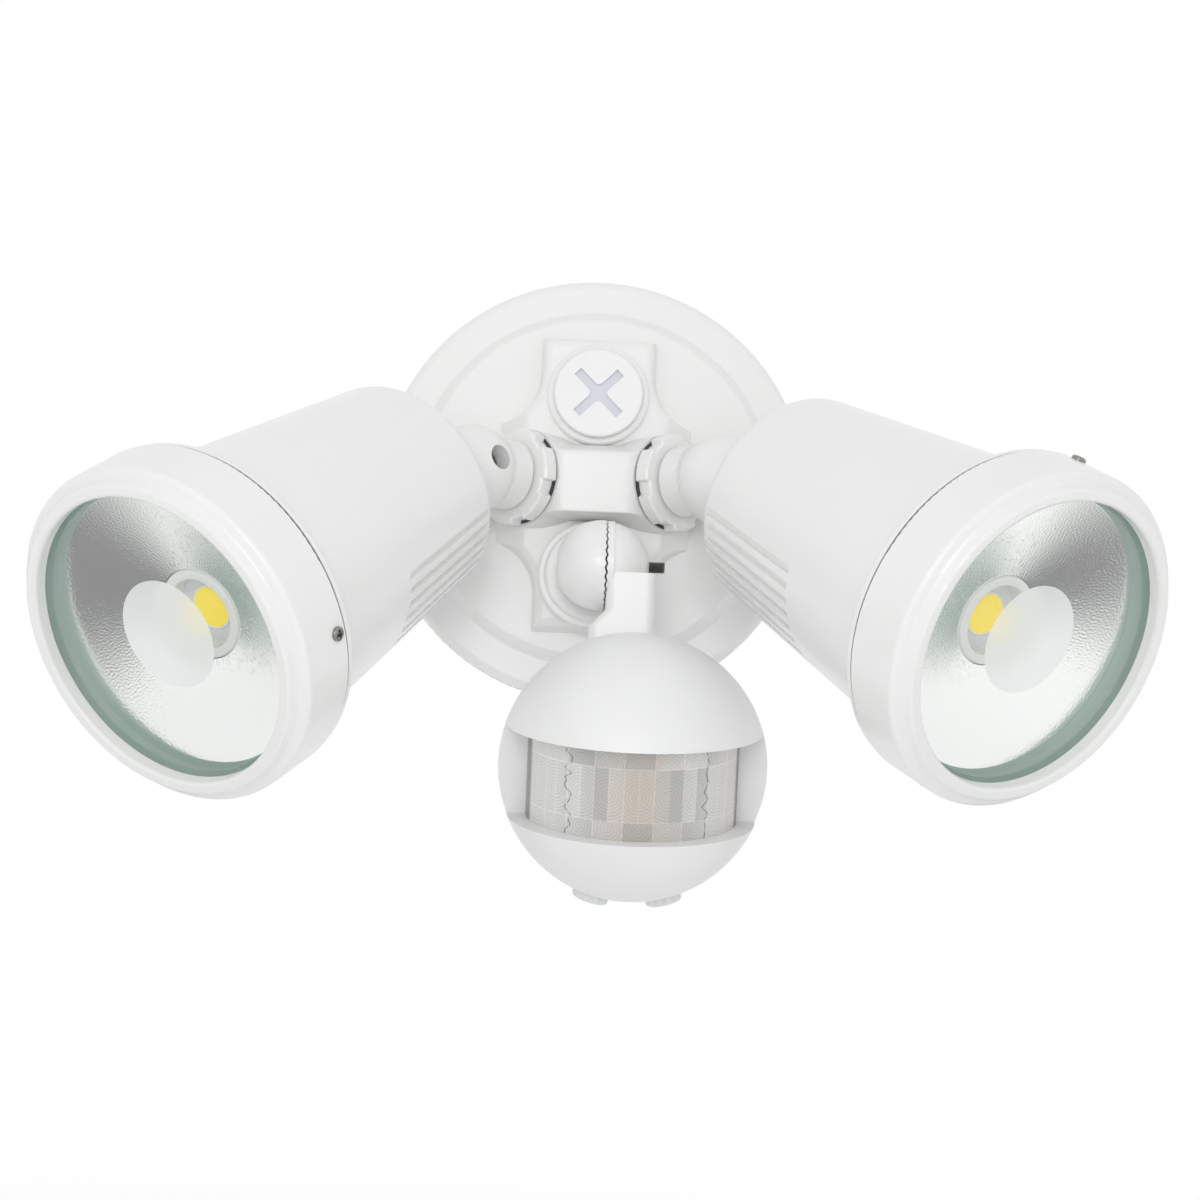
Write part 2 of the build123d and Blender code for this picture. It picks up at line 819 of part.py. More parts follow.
def led_driver(head):
    """Potted driver block that stands on the back of the heat plate."""
    with BuildPart() as driver:
        with BuildSketch(head.level(lip_reach - plate_back)):
            RectangleRounded(40, 34, 3)
        extrude(amount=-66)
    return driver


for side, (stem_centre, bolt_centre, head) in lamps.items():
    pieces = lamp_pieces(side, stem_centre, bolt_centre, head)
    pieces["led_driver"] = led_driver(head)
    for name, piece in pieces.items():
        save(piece, f"{side}_{name}")


# ------------------------------------------------------------- sensor ball
lean = radians(ball_tilt)
ball_forward = Vector(0, -cos(lean), -sin(lean))
ball_up = Vector(0, -sin(lean), cos(lean))
ball = Centre(ball_centre, ball_up, ball_forward)
ball_right = Vector(1, 0, 0)
facing = Plane(ball_centre, x_dir=ball_right, z_dir=ball_forward)


def on_ball(radius, height):
    """Distance from the ball's axis of the sphere of that radius at a height."""
    return sqrt(radius**2 - height**2)


inside = ball_radius - ball_wall
opening = 30
with BuildPart() as sensor_shell_upper:
    with BuildSketch(ball.section()):
        with BuildLine():
            RadiusArc((on_ball(ball_radius, window_top), window_top), (0, ball_radius), -ball_radius)
            Line((0, ball_radius), (0, inside))
            RadiusArc((0, inside), (on_ball(inside, window_top + 2), window_top + 2), inside)
            Polyline(
                (on_ball(inside, window_top + 2), window_top + 2),
                (opening, window_top + 2),
                (opening, window_top),
                (on_ball(ball_radius, window_top), window_top),
            )
        make_face()
    revolve(axis=ball.axis)
save(sensor_shell_upper, "sensor_shell_upper")


def knob_centre(sign):
    """Axis of one adjuster under the ball, leaning outwards."""
    lean_out = radians(knob_angle)
    along = ball_right * (sign * sin(lean_out)) - ball_up * cos(lean_out)
    return Centre(ball_centre, along, ball_forward)


knobs = {"time_knob": knob_centre(-1), "lux_knob": knob_centre(1)}
floor = window_bottom - 2
with BuildPart() as sensor_shell_lower:
    with BuildSketch(ball.section()):
        with BuildLine():
            RadiusArc((on_ball(ball_radius, window_bottom), window_bottom), (0, -ball_radius),
                      ball_radius)
            Line((0, -ball_radius), (0, -inside))
            RadiusArc((0, -inside), (on_ball(inside, floor), floor), -inside)
            Polyline(
                (on_ball(inside, floor), floor),
                (opening, floor),
                (opening, window_bottom),
                (on_ball(ball_radius, window_bottom), window_bottom),
            )
        make_face()
    revolve(axis=ball.axis)
    # Rear half of the window band
    with BuildSketch(ball.section(-90)):
        with BuildLine():
            RadiusArc((on_ball(ball_radius, window_bottom), window_bottom),
                      (on_ball(ball_radius, window_top), window_top), -ball_radius)
            Line((on_ball(ball_radius, window_top), window_top),
                 (on_ball(inside, window_top), window_top))
            RadiusArc((on_ball(inside, window_top), window_top),
                      (on_ball(inside, window_bottom), window_bottom), inside)
            Line((on_ball(inside, window_bottom), window_bottom),
                 (on_ball(ball_radius, window_bottom), window_bottom))
        make_face()
    revolve(axis=ball.axis, revolution_arc=-180)
    # Flat wall at the ball's middle, either side of the lens, out to the shell
    rim = ball_radius - 0.3
    wall_start = lens_radius - 0.7
    for sign in (-1, 1):
        upper = (sign * on_ball(rim, window_top), window_top)
        lower = (sign * on_ball(rim, window_bottom), window_bottom)
        with BuildSketch(facing):
            with BuildLine():
                Polyline(upper, (sign * wall_start, window_top),
                         (sign * wall_start, window_bottom), lower)
                ThreePointArc(lower, (sign * rim, 0), upper)
            make_face()
        extrude(amount=-2)
    for centre in knobs.values():
        with BuildSketch(centre.level(20)):
            Circle(knob_radius + knob_gap)
        extrude(amount=40, mode=Mode.SUBTRACT)
    # Posts that carry the circuit board
    with BuildSketch(facing.offset(-7)):
        with Locations((-18, -4), (18, -4)):
            Circle(2.6)
    extrude(amount=-29.5)
save(sensor_shell_lower, "sensor_shell_lower")

with BuildPart() as fresnel_lens:
    with BuildSketch(ball.section(-90)):
        with BuildLine():
            inner = lens_radius - lens_wall
            upper, lower = lens_row_splits
            Polyline(
                (lens_radius, window_bottom),
                (lens_radius, window_top),
                (inner, window_top),
                (inner, upper + 0.5),
                (inner + 0.5, upper),
                (inner, upper - 0.5),
                (inner, lower + 0.5),
                (inner + 0.5, lower),
                (inner, lower - 0.5),
                (inner, window_bottom),
                close=True,
            )
        make_face()
    revolve(axis=ball.axis, revolution_arc=180)
save(fresnel_lens, "fresnel_lens")

with BuildPart() as sensor_board:
    with BuildSketch(facing.offset(-5.4)):
        with Locations((0, -6)):
            RectangleRounded(46, 54, 2)
    extrude(amount=-1.6)
save(sensor_board, "sensor_board")

with BuildPart() as pyro_detector:
    with BuildSketch(facing.offset(-5.4)):
        Circle(4.8)
    extrude(amount=0.8)
    with BuildSketch(facing.offset(-4.6)):
        Circle(4.1)
    extrude(amount=3.6)
    with BuildSketch(facing.offset(-1)):
        Rectangle(4, 3)
    extrude(amount=-0.4, mode=Mode.SUBTRACT)
save(pyro_detector, "pyro_detector")

with BuildPart() as photocell:
    with BuildSketch(facing.offset(-5.4)):
        with Locations((-13, -9)):
            Circle(2.5)
    extrude(amount=2)
save(photocell, "photocell")

with BuildPart() as adjuster_pots:
    for centre in knobs.values():
        outward = Plane(centre.origin + centre.along * 23, x_dir=ball_forward, z_dir=centre.along)
        with BuildSketch(outward):
            with Locations((-5.4, 0)):
                Rectangle(10.8, 10, align=(Align.MIN, Align.CENTER))
        extrude(amount=6)
        with BuildSketch(outward.offset(2)):
            Circle(2)
        extrude(amount=10, mode=Mode.SUBTRACT)
save(adjuster_pots, "adjuster_pots")


def knob(centre):
    """Ribbed adjuster: grip outside the shell, shaft into its potentiometer."""
    with BuildPart() as turning:
        with BuildSketch(centre.level(38.5)):
            Circle(knob_radius)
        extrude(amount=knob_reach - 38.5)
        tip = turning.faces().sort_by(
            lambda f: -(f.center() - centre.origin).dot(centre.along))[0]
        fillet(tip.edges(), 1)
        with BuildSketch(centre.level(44)):
            with PolarLocations(knob_radius + 0.3, 12):
                Circle(0.8)
        extrude(amount=5, mode=Mode.SUBTRACT)
        with BuildSketch(centre.level(knob_reach)):
            Rectangle(8, 1.6)
        extrude(amount=-1, mode=Mode.SUBTRACT)
        with BuildSketch(centre.level(38.5)):
            Circle(1.95)
        extrude(amount=-12.5)
    return turning


for name, centre in knobs.items():
    save(knob(centre), name)

save(knuckle_stem(sensor_stem_centre, sensor_bolt_centre, sensor_boss_height, sensor_pivot_reach,
                  False), "sensor_stem")
save(flanged_ring(), "sensor_lock_ring")
save(stem_seal(sensor_stem_centre, sensor_boss_height, sensor_pivot_reach), "sensor_stem_seal")
save(clamp_bolt(sensor_bolt_centre, bolt_head_seat + seat_gap, bolt_end),
     "sensor_clamp_bolt")

# Arm from the moving half of the knuckle down to the back of the ball, wider below it
arm_middle = (arm_left + arm_right) / 2
with BuildPart() as sensor_arm:
    with BuildSketch(Plane.XY.offset(-sensor_drop - arm_top)):
        with Locations((arm_middle, -sensor_pivot_reach - 3)):
            RectangleRounded(arm_right - arm_left, 22, 3)
    extrude(amount=arm_top - arm_flare_bottom)
    with BuildSketch(Plane.XY.offset(-sensor_drop - arm_flare_top)):
        with Locations((arm_middle, -sensor_pivot_reach - 3)):
            RectangleRounded(arm_right - arm_left, 22, 3)
    with BuildSketch(Plane.XY.offset(-sensor_drop - arm_flare_bottom)):
        with Locations(((arm_right + arm_flare_left) / 2, -sensor_pivot_reach - 3)):
            RectangleRounded(arm_right - arm_flare_left, 22, 3)
    loft()
    with BuildSketch(Plane.XY.offset(-sensor_drop - arm_flare_bottom)):
        with Locations(((arm_right + arm_flare_left) / 2, -sensor_pivot_reach - 3)):
            RectangleRounded(arm_right - arm_flare_left, 22, 3)
    extrude(amount=arm_flare_bottom - arm_bottom)
    with Locations(ball_centre):
        Sphere(ball_radius + 0.02, mode=Mode.SUBTRACT)
    add(moving_half(sensor_bolt_centre))
    teeth, bore = knuckle_cuts(sensor_bolt_centre, False)
    add(teeth, mode=Mode.SUBTRACT)
    add(bore, mode=Mode.SUBTRACT)
save(sensor_arm, "sensor_arm")
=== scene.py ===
import json
from math import cos, pi, radians, sin

import bmesh
import bpy
import numpy as np
from mathutils import Matrix, Vector


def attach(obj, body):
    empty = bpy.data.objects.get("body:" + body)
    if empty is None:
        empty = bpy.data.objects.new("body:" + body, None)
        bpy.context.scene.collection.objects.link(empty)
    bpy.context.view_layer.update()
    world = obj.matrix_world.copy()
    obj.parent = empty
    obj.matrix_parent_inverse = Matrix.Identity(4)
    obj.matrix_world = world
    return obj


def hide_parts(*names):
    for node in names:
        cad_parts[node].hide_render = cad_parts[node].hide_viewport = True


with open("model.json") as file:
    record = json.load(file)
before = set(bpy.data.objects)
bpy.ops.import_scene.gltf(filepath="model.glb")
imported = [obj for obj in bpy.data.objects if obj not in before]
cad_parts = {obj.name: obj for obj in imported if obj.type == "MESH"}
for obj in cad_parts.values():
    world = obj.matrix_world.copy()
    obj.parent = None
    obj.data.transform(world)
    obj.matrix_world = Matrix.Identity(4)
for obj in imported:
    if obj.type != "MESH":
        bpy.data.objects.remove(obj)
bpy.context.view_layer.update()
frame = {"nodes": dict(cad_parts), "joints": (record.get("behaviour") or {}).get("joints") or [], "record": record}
nodes = frame["nodes"]
joints = {joint["name"]: joint for joint in frame["joints"]}
bpy.context.scene.view_settings.view_transform = "Standard"

# ------------------------------------------------------------------ camera
CAMERA_DISTANCE = 1.0          # from the plate's centre, along the view
CAMERA_AZIMUTH = radians(-1.4)
CAMERA_ELEVATION = radians(-8.18)
CAMERA_ROLL = radians(2.15)
FRAME_PIXELS = 1200
SENSOR = 36.0                  # millimetres across the frame
PIXELS_PER_METRE = 2830.0      # at the plate's centre
PLATE_PIXEL = (593.41, 491.75)


def photo_camera():
    """Camera that sees the plate's centre at its pixel, from the photographed angle."""
    level = cos(CAMERA_ELEVATION)
    back = Vector((sin(CAMERA_AZIMUTH) * level, -cos(CAMERA_AZIMUTH) * level,
                   sin(CAMERA_ELEVATION)))
    right = Vector((0, 0, 1)).cross(back).normalized()
    up = back.cross(right)
    turned_right = right * cos(CAMERA_ROLL) + up * sin(CAMERA_ROLL)
    turned_up = up * cos(CAMERA_ROLL) - right * sin(CAMERA_ROLL)
    across = (PLATE_PIXEL[0] - FRAME_PIXELS / 2) / PIXELS_PER_METRE
    rise = (FRAME_PIXELS / 2 - PLATE_PIXEL[1]) / PIXELS_PER_METRE
    place = back * CAMERA_DISTANCE - turned_right * across - turned_up * rise
    data = bpy.data.cameras.new("photo_camera")
    data.sensor_width = SENSOR
    data.lens = PIXELS_PER_METRE * CAMERA_DISTANCE * SENSOR / FRAME_PIXELS
    data.clip_start, data.clip_end = 0.05, 20.0
    camera = bpy.data.objects.new("photo_camera", data)
    turn = Matrix((turned_right, turned_up, back)).transposed()
    camera.matrix_world = Matrix.Translation(place) @ turn.to_4x4()
    bpy.context.scene.collection.objects.link(camera)
    bpy.context.scene.camera = camera


photo_camera()


# --------------------------------------------------------- node tree helpers
DRIFT_RANGE = (0.35, 0.65)     # of the noise, stretched to the whole drift


class NodeWork:
    """A node tree under construction, with short calls to add to it."""

    def __init__(self, tree):
        self.tree = tree

    def add(self, kind, inputs=None, **settings):
        """Node of a kind, with its settings and with values or links for its inputs."""
        node = self.tree.nodes.new(kind)
        for key, value in settings.items():
            setattr(node, key, value)
        for key, value in (inputs or {}).items():
            if isinstance(value, bpy.types.NodeSocket):
                self.tree.links.new(value, node.inputs[key])
            else:
                node.inputs[key].default_value = value
        return node

    def ramp(self, source, low, high, first=0.0, last=1.0):
        """Source stretched so that low gives the first value and high gives the last."""
        node = self.add("ShaderNodeMapRange", {"Value": source, "From Min": low,
                                               "From Max": high, "To Min": first,
                                               "To Max": last})
        return node.outputs["Result"]

    def maths(self, operation, first, second):
        """One sum of two values."""
        node = self.add("ShaderNodeMath", {0: first, 1: second}, operation=operation)
        return node.outputs[0]

    def either(self, first, *others):
        """1 when any of several yes-or-no values is 1."""
        for other in others:
            first = self.maths("MAXIMUM", first, other)
        return first

    def distance(self, first, second):
        """Distance between two places."""
        node = self.add("ShaderNodeVectorMath", {0: first, 1: second}, operation="DISTANCE")
        return node.outputs["Value"]


class Finish(NodeWork):
    """A material under construction: its node tree and its shader."""

    def __init__(self, name, colour, rough, **sockets):
        self.material = bpy.data.materials.new(name)
        self.material.use_nodes = True
        super().__init__(self.material.node_tree)
        self.shader = self.tree.nodes["Principled BSDF"]
        self.output = self.tree.nodes["Material Output"]
        self.shader.inputs["Base Color"].default_value = (*colour, 1)
        self.shader.inputs["Roughness"].default_value = rough
        for socket, value in sockets.items():
            self.shader.inputs[socket.replace("_", " ")].default_value = value
        self.place = self.add("ShaderNodeTexCoord").outputs["Object"]
        self.relief = None

    def noise(self, scale, detail=2.0):
        """Soft noise over the surface, 0 to 1, in features of 1/scale metres."""
        node = self.add("ShaderNodeTexNoise", {"Vector": self.place, "Scale": scale,
                                               "Detail": detail})
        return node.outputs["Fac"]

    def blend(self, amount, first, second):
        """Colour between two colours."""
        node = self.add("ShaderNodeMix", {"Factor": amount}, data_type="RGBA")
        for key, value in (("A", first), ("B", second)):
            socket = [s for s in node.inputs if s.name == key and s.type == "RGBA"][0]
            socket.default_value = (*value, 1)
        return [s for s in node.outputs if s.type == "RGBA"][0]

    def colour(self, source):
        """Takes the colour from a node."""
        self.tree.links.new(source, self.shader.inputs["Base Color"])

    def rough(self, source):
        """Takes the roughness from a node."""
        self.tree.links.new(source, self.shader.inputs["Roughness"])

    def drifting_colour(self, colour, scale, darkest):
        """Colour that drifts over the surface to a slightly darker one."""
        drift = self.ramp(self.noise(scale), *DRIFT_RANGE)
        self.colour(self.blend(drift, colour, tuple(c * darkest for c in colour)))

    def bump(self, source, strength, depth):
        """Relief on top of any relief already there; depth is its height in metres."""
        inputs = {"Height": source, "Strength": strength, "Distance": depth}
        if self.relief:
            inputs["Normal"] = self.relief
        self.relief = self.add("ShaderNodeBump", inputs).outputs["Normal"]
        self.tree.links.new(self.relief, self.shader.inputs["Normal"])

    def mould_grain(self):
        """Fine grain of a spark-eroded mould."""
        self.bump(self.noise(2600), 0.18, 0.00012)

    def surface(self, share, first, second):
        """Looks like the first shader at share 0 and like the second at share 1."""
        mix = self.add("ShaderNodeMixShader", {0: share, 1: first.outputs[0],
                                               2: second.outputs[0]})
        self.tree.links.new(mix.outputs[0], self.output.inputs["Surface"])

    def let_light_through(self, colour):
        """Bends only what the eye sees through it, and lets light on what is behind pass."""
        rays = self.add("ShaderNodeLightPath").outputs
        mirrored = self.maths("SUBTRACT", rays["Is Glossy Ray"], rays["Is Transmission Ray"])
        passing = self.either(rays["Is Shadow Ray"], rays["Is Diffuse Ray"], mirrored)
        clear = self.add("ShaderNodeBsdfTransparent", {"Color": (*colour, 1)})
        self.surface(passing, self.shader, clear)


# ------------------------------------------------------------------- stage
# Metres
FLOOR_LEVEL, FLOOR_HALF = -0.26, 4.0
FLOOR_WHITE = (0.97, 0.97, 0.97)
SHADE_MIDDLE = (0, -0.15, FLOOR_LEVEL)      # near it a quarter of the look is the lit floor
SHADE_NEAR, SHADE_FAR, SHADE_GLOW = 0.15, 0.5, 0.75
# Dim patches under the lamp heads: painted shadow that only the reflectors mirror
PATCH_MIDDLE = (0.29, 0.155, -FLOOR_LEVEL)  # without signs, so there is one on each side
PATCH_NEAR, PATCH_FAR, PATCH_GLOW = 0.05, 0.17, 0.1
WORLD_LIGHT = 0.78                          # what the white surroundings give as light
LAMPS = (                                   # name, place, width and watts
    ("key_lamp", (-0.9, -1.3, 1.2), 1.2, 0.3),
    ("front_lamp", (-0.7, -1.35, 0.2), 0.9, 0.4),
    ("low_lamp", (-0.1, -1.2, 0.02), 0.52, 2.2),
    ("fill_lamp", (1.2, -1.2, 0.5), 1.0, 0.5),
)


def floor_finish():
    """White to the eye, with a soft shade under the light. Two dim patches of painted shadow
    show only in what mirrors the floor, as the reflectors do."""
    finish = Finish("studio_floor", FLOOR_WHITE, 0.8)
    rays = finish.add("ShaderNodeLightPath").outputs
    straight = finish.either(rays["Is Camera Ray"], rays["Is Transmission Ray"])
    either_side = finish.add("ShaderNodeVectorMath", {0: finish.place},
                             operation="ABSOLUTE").outputs["Vector"]
    painted_shadow_patch = finish.ramp(finish.distance(either_side, PATCH_MIDDLE), PATCH_NEAR, PATCH_FAR,
                        PATCH_GLOW, 1.0)
    mirrored = finish.maths("MULTIPLY", painted_shadow_patch, rays["Is Glossy Ray"])
    glow = finish.add("ShaderNodeEmission",
                      {"Strength": finish.maths("ADD", straight, mirrored)})
    away = finish.ramp(finish.distance(finish.place, SHADE_MIDDLE), SHADE_NEAR, SHADE_FAR)
    seen = finish.either(straight, rays["Is Glossy Ray"])
    share = finish.maths("MULTIPLY", seen, finish.ramp(away, 0.0, 1.0, SHADE_GLOW, 1.0))
    finish.surface(share, finish.shader, glow)
    return finish.material


def studio_floor():
    """Large square under the light."""
    half = FLOOR_HALF
    mesh = bpy.data.meshes.new("studio_floor")
    mesh.from_pydata([(-half, -half, FLOOR_LEVEL), (half, -half, FLOOR_LEVEL),
                      (half, half, FLOOR_LEVEL), (-half, half, FLOOR_LEVEL)], [], [(0, 1, 2, 3)])
    floor = bpy.data.objects.new("studio_floor", mesh)
    floor.data.materials.append(floor_finish())
    bpy.context.scene.collection.objects.link(floor)


def studio_world():
    """Surroundings that look white and give a little less light than that."""
    world = bpy.data.worlds.new("studio")
    bpy.context.scene.world = world
    world.use_nodes = True
    work = NodeWork(world.node_tree)
    rays = work.add("ShaderNodeLightPath").outputs
    seen = work.either(rays["Is Camera Ray"], rays["Is Glossy Ray"], rays["Is Transmission Ray"])
    background = world.node_tree.nodes["Background"].inputs
    background["Color"].default_value = (1, 1, 1, 1)
    world.node_tree.links.new(work.ramp(seen, 0.0, 1.0, WORLD_LIGHT, 1.0),
                              background["Strength"])


def studio_lamps():
    """Soft round lamps above and in front, all turned to the plate's centre."""
    for name, place, width, watts in LAMPS:
        data = bpy.data.lights.new(name, "AREA")
        data.shape = "DISK"
        data.size = width
        data.energy = watts
        lamp = bpy.data.objects.new(name, data)
        lamp.matrix_world = (Matrix.Translation(place)
                             @ Vector(place).to_track_quat("Z", "Y").to_matrix().to_4x4())
        bpy.context.scene.collection.objects.link(lamp)


studio_floor()
studio_world()
studio_lamps()

# ---------------------------------------------------------------- finishes
WHITE_COAT = (0.865, 0.87, 0.86)
WHITE_PLASTIC = (0.865, 0.868, 0.872)
PHOSPHOR, PHOSPHOR_PAINTED_GLOW = (1.0, 0.78, 0.05), (1.0, 0.70, 0.06, 1)
# The second colour is painted shade, with a little dirt, for the floors of the plug's slots
PLUG_FACE, PLUG_SLOT_SHADE = (0.88, 0.883, 0.89), (0.71, 0.71, 0.78)
PLUG_RISE = 0.0305                              # metres above the plate's centre
SLOT_START, SLOT_FLOOR = -0.02405, -0.0234      # metres along Y
SLOT_REACH, SLOT_FADE = 0.0115, 0.001           # metres out from the plug's axis


def powder_coat():
    """Glossy warm white powder coat: faint orange peel, and slow drifts of tint and gloss."""
    coat = Finish("powder_coat", WHITE_COAT, 0.3, Coat_Weight=0.25, Coat_Roughness=0.12)
    coat.drifting_colour(WHITE_COAT, 18, 0.985)
    coat.rough(coat.ramp(coat.noise(90, 3), 0.0, 1.0, 0.26, 0.36))
    coat.bump(coat.noise(650, 1), 0.12, 0.0004)
    return coat.material


def moulded_plastic(name, colour, rough, **sockets):
    """Satin moulded plastic with the grain of its mould."""
    plastic = Finish(name, colour, rough, **sockets)
    plastic.drifting_colour(colour, 25, 0.98)
    plastic.mould_grain()
    return plastic.material


def plug_plastic():
    """Satin plug whose crossed slots are greyer, a painted shade with a little dirt: below the face, near the
    plug's axis.
    """
    plug = Finish("plug_plastic", PLUG_FACE, 0.38)
    across = plug.add("ShaderNodeVectorMath", {0: plug.place, 1: (1, 0, 1)},
                      operation="MULTIPLY").outputs["Vector"]
    from_axis = plug.distance(across, (0, 0, PLUG_RISE))
    depth = plug.add("ShaderNodeSeparateXYZ", {0: plug.place}).outputs["Y"]
    # Painted shade: greyer below the face and near the axis, in the slot floors
    painted_slot_shade = plug.maths("MULTIPLY", plug.ramp(depth, SLOT_START, SLOT_FLOOR),
                      plug.ramp(from_axis, SLOT_REACH + SLOT_FADE, SLOT_REACH))
    plug.colour(plug.blend(painted_slot_shade, PLUG_FACE, PLUG_SLOT_SHADE))
    plug.mould_grain()
    return plug.material


def metal(name, colour, rough):
    """Bright metal with fine handling marks."""
    finish = Finish(name, colour, rough, Metallic=1.0)
    finish.rough(finish.ramp(finish.noise(400, 4), 0.0, 1.0, rough * 0.8, rough * 1.4))
    return finish.material


def clear_glass():
    """Clear pane with a green tinge that lets lamps through."""
    glass = Finish("pane_glass", (0.985, 0.997, 0.992), 0.0, IOR=1.5, Transmission_Weight=1.0)
    glass.let_light_through((0.98, 0.99, 0.985))
    return glass.material


def frosted_glass():
    """Back of the pane where it is etched: white haze that hides what is behind."""
    glass = Finish("frosted_glass", (0.93, 0.95, 0.94), 0.6, IOR=1.3, Transmission_Weight=0.35)
    glass.bump(glass.noise(3000), 0.1, 0.0001)
    glass.let_light_through((0.75, 0.77, 0.76))
    return glass.material


def lens_plastic():
    """Milky polyethylene; each facet's tint, with its painted light and shade, is in the lens's own attribute."""
    plastic = Finish("lens_plastic", (0.64, 0.63, 0.61), 0.28, Coat_Weight=0.2)
    tint = plastic.add("ShaderNodeVertexColor", layer_name="facet_tint_and_shade")
    plastic.colour(tint.outputs["Color"])
    return plastic.material


finishes = {
    "white_coat": powder_coat(),
    "white_plastic": moulded_plastic("ball_plastic", WHITE_PLASTIC, 0.42),
    "knob_plastic": moulded_plastic("knob_plastic", (0.80, 0.81, 0.82), 0.4),
    "rubber": moulded_plastic("rubber", (0.05, 0.05, 0.052), 0.75),
    "steel": metal("bright_steel", (0.62, 0.61, 0.60), 0.2),
    "brass": metal("brass", (0.80, 0.62, 0.28), 0.3),
    "clear_glass": clear_glass(),
    "bright_aluminium": metal("hammered_aluminium", (0.98, 0.975, 0.965), 0.14),
    "plain_aluminium": metal("plain_aluminium", (0.70, 0.71, 0.72), 0.38),
    "spacer_plastic": moulded_plastic("spacer_plastic", (0.30, 0.405, 0.365), 0.5),
    "trim_plastic": moulded_plastic("trim_plastic", (0.90, 0.90, 0.89), 0.22),
    # Painted glow: a faint emission keeps the silicone bright yellow behind the haze
    "phosphor": moulded_plastic("phosphor", PHOSPHOR, 0.45, Emission_Color=PHOSPHOR_PAINTED_GLOW,
                                Emission_Strength=0.2),
    "potting": moulded_plastic("potting", (0.08, 0.08, 0.085), 0.5),
    "lens_plastic": lens_plastic(),
    "circuit_board": moulded_plastic("circuit_board", (0.05, 0.25, 0.10), 0.4),
    "black_plastic": moulded_plastic("black_plastic", (0.04, 0.04, 0.042), 0.5),
}
PLUG_PLASTIC = plug_plastic()
CARRIER_COAT = moulded_plastic("carrier_coat", (0.80, 0.80, 0.81), 0.35)
FROSTED_GLASS = frosted_glass()
GROUND_EDGE = moulded_plastic("ground_edge", (0.90, 0.91, 0.90), 0.6)
DARK_STEEL = metal("dark_steel", (0.16, 0.155, 0.15), 0.35)
SCREW_STEEL = metal("screw_steel", (0.28, 0.27, 0.26), 0.14)

slots = {part["node"]: part["material_slot"] for part in frame["record"]["subparts"]}
own_finish = {"blanking_plug": PLUG_PLASTIC, "left_led_carrier": CARRIER_COAT,
              "right_led_carrier": CARRIER_COAT}
for name, node in nodes.items():
    node.data.materials.clear()
    node.data.materials.append(own_finish.get(name, finishes[slots[name]]))


# ---------------------------------------------------------------- surfaces
MM = 0.001
MERGE_DISTANCE, SMALLEST_EDGE = 1e-7, 1e-8      # metres


class Turning:
    """An axis to turn shapes about: an origin, the way along it and two ways across it."""

    def __init__(self, origin, along, across):
        self.origin = np.asarray(origin, float)
        self.along = np.asarray(along, float) / np.linalg.norm(along)
        side = np.cross(self.along, across)
        self.side = side / np.linalg.norm(side)
        self.across = np.cross(self.side, self.along)

    def points(self, radius, height, angle):
        """Origin + height along the axis + radius (cos angle across + sin angle side)."""
        radius, height, angle = np.broadcast_arrays(radius, height, angle)
        spoke = (np.cos(angle)[..., None] * self.across + np.sin(angle)[..., None] * self.side)
        return self.origin + height[..., None] * self.along + radius[..., None] * spoke


def grid_piece(name, points, body, materials, tint=None, closed=True, crease=40):
    """Piece over a grid of points: columns run round its profile, and rows round the axis, or
    from end to end where it isn't closed that way; flat faces fill what is left open."""
    rows, columns, _ = points.shape
    index = np.arange(rows * columns).reshape(rows, columns)
    index = np.hstack([index, index[:, :1]])
    if closed:
        index = np.vstack([index, index[:1]])
    quads = np.stack([index[:-1, :-1], index[1:, :-1], index[1:, 1:], index[:-1, 1:]], -1)
    quads = quads.reshape(-1, 4)
    mesh = bpy.data.meshes.new(name)
    mesh.vertices.add(rows * columns)
    mesh.vertices.foreach_set("co", points.astype(np.float32).ravel())
    mesh.loops.add(quads.size)
    mesh.loops.foreach_set("vertex_index", quads.astype(np.int32).ravel())
    mesh.polygons.add(len(quads))
    mesh.polygons.foreach_set("loop_start", np.arange(0, quads.size, 4, dtype=np.int32))
    mesh.update(calc_edges=True)
    if tint is not None:
        layer = mesh.color_attributes.new("facet_tint_and_shade", "FLOAT_COLOR", "POINT")
        layer.data.foreach_set("color", tint.astype(np.float32).ravel())
    shape = bmesh.new()
    shape.from_mesh(mesh)
    bmesh.ops.remove_doubles(shape, verts=shape.verts, dist=MERGE_DISTANCE)
    bmesh.ops.dissolve_degenerate(shape, edges=shape.edges, dist=SMALLEST_EDGE)
    bmesh.ops.holes_fill(shape, edges=[e for e in shape.edges if e.is_boundary], sides=0)
    bmesh.ops.recalc_face_normals(shape, faces=shape.faces)
    shape.to_mesh(mesh)
    shape.free()
    mesh.shade_smooth()
    mesh.set_sharp_from_angle(angle=radians(crease))
    for material in materials:
        mesh.materials.append(material)
    piece = bpy.data.objects.new(name, mesh)
    bpy.context.scene.collection.objects.link(piece)
    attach(piece, body)
    return piece


def turned_piece(name, turning, profile, body, materials, turns=96, crease=40):
    """Ring or disc: a closed profile of (radius, height) in millimetres, turned full circle."""
    profile = np.asarray(profile, float) * MM
    points = turning.points(profile[None, :, 0], profile[None, :, 1], around(turns))
    return grid_piece(name, points, body, materials, crease=crease)


def around(turns):
    """Angles of a full circle in equal steps, as a column."""
    return np.linspace(0, 2 * pi, turns, endpoint=False)[:, None]


def slope(value, start, end):
    """0 at the start, 1 at the end, straight between and level beyond."""
    return np.clip((value - start) / (end - start), 0, 1)


def smooth_noise(size, spacing, coarse, fine, seed):
    """Random relief on a square of points, with waves only between the two lengths, rms 1."""
    white = np.random.default_rng(seed).normal(size=(size, size))
    waves = np.fft.fftfreq(size, spacing)
    pitch = np.hypot(waves[:, None], waves[None, :])
    band = np.exp(-(pitch * fine) ** 4) * (1 - np.exp(-(pitch * coarse) ** 4))
    field = np.real(np.fft.ifft2(np.fft.fft2(white) * band))
    return field / field.std()


